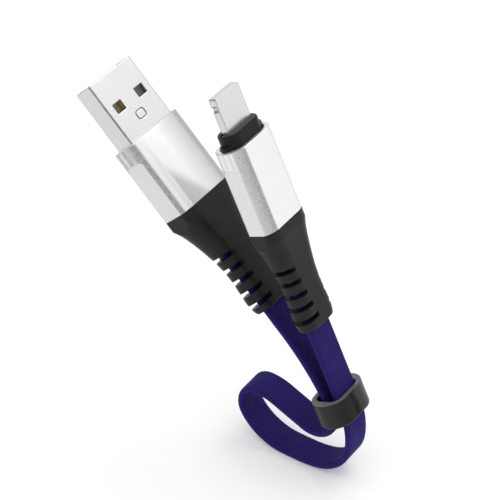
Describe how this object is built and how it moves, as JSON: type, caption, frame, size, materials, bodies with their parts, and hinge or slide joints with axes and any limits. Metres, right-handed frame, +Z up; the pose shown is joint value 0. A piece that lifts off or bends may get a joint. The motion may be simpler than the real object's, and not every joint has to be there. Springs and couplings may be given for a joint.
{
  "type": "charging cable",
  "caption": "Flat woven ribbon charging cable with a type-A plug and an eight-contact plug, folded back through a keeper ring so both plugs stand up from one loop.",
  "frame": {"origin": "middle of the loop's underside, on the surface the cable stands on", "axes": "+Z up; +Y along the ribbon's width and every bend axis; +X towards the loop's front bend, away from the type-A plug"},
  "size_m": [0.0573, 0.0154, 0.0761],
  "materials": {
    "plug_steel": "bright, fine grain",
    "housing_aluminium": "satin, bead blasted",
    "relief_rubber": "soft matte charcoal",
    "collar_plastic": "satin black",
    "keeper_plastic": "satin charcoal, slightly olive",
    "ribbon_weave": "tight weave with fine cross ribs, deep indigo",
    "ribbon_jacket": "plain extrusion",
    "wire_insulation": "smooth insulation",
    "tongue_plastic": "moulded black",
    "contact_gold": "gold plated",
    "solder": "dull tin",
    "inner_plastic": "hard moulding",
    "crimp_metal": "plain strip",
    "board": "solder mask",
    "chip_plastic": "moulded package",
    "capacitor": "fired ceramic"
  },
  "bodies": {
    "loop": {"loop_sleeve": "ribbon_weave", "loop_inner_jacket": "ribbon_jacket", "loop_wires": "wire_insulation"},
    "keeper": {"keeper_ring": "keeper_plastic"},
    "type_a_run": {"type_a_run_sleeve": "ribbon_weave", "type_a_run_inner_jacket": "ribbon_jacket", "type_a_run_wires": "wire_insulation"},
    "type_a_plug": {"type_a_shell": "plug_steel", "type_a_tongue": "tongue_plastic", "type_a_contacts": "contact_gold", "type_a_solder": "solder", "type_a_leads": "wire_insulation", "type_a_inner_mould": "inner_plastic", "type_a_housing": "housing_aluminium", "type_a_crimp": "crimp_metal", "type_a_strain_relief": "relief_rubber", "type_a_tail_sleeve": "ribbon_weave", "type_a_tail_inner_jacket": "ribbon_jacket", "type_a_tail_wires": "wire_insulation"},
    "eight_pin_run": {"eight_pin_run_sleeve": "ribbon_weave", "eight_pin_run_inner_jacket": "ribbon_jacket", "eight_pin_run_wires": "wire_insulation"},
    "eight_pin_plug": {"eight_pin_blade": "plug_steel", "eight_pin_contact_block": "tongue_plastic", "eight_pin_contacts": "contact_gold", "eight_pin_board": "board", "eight_pin_chip": "chip_plastic", "eight_pin_capacitors": "capacitor", "eight_pin_solder": "solder", "eight_pin_collar": "collar_plastic", "eight_pin_inner_mould": "inner_plastic", "eight_pin_housing": "housing_aluminium", "eight_pin_crimp": "crimp_metal", "eight_pin_strain_relief": "relief_rubber", "eight_pin_tail_sleeve": "ribbon_weave", "eight_pin_tail_inner_jacket": "ribbon_jacket", "eight_pin_tail_wires": "wire_insulation"}
  },
  "joints": [
    {"name": "keeper_slide", "type": "slide", "parent": "loop", "child": "keeper", "axis": [-0.4242, 0, 0.9056], "range_m": [-0.0003, 0.0015]},
    {"name": "type_a_lower_bend", "type": "hinge", "parent": "loop", "child": "type_a_run", "pos_m": [0.00397, 0, 0.02294], "axis": [0, 1, 0], "range_deg": [-30, 3], "stiffness_Nm_per_rad": 0.05},
    {"name": "type_a_upper_bend", "type": "hinge", "parent": "type_a_run", "child": "type_a_plug", "pos_m": [-0.00238, 0, 0.03012], "axis": [0, 1, 0], "range_deg": [-30, 3], "stiffness_Nm_per_rad": 0.05},
    {"name": "eight_pin_lower_bend", "type": "hinge", "parent": "loop", "child": "eight_pin_run", "pos_m": [0.00747, 0, 0.02429], "axis": [0, 1, 0], "range_deg": [-3, 30], "stiffness_Nm_per_rad": 0.05},
    {"name": "eight_pin_upper_bend", "type": "hinge", "parent": "eight_pin_run", "child": "eight_pin_plug", "pos_m": [0.00476, 0, 0.03009], "axis": [0, 1, 0], "range_deg": [-3, 30], "stiffness_Nm_per_rad": 0.05}
  ],
  "couplings": [
    {"joint": "type_a_upper_bend", "follows": "type_a_lower_bend", "ratio": 1},
    {"joint": "eight_pin_upper_bend", "follows": "eight_pin_lower_bend", "ratio": 1}
  ]
}
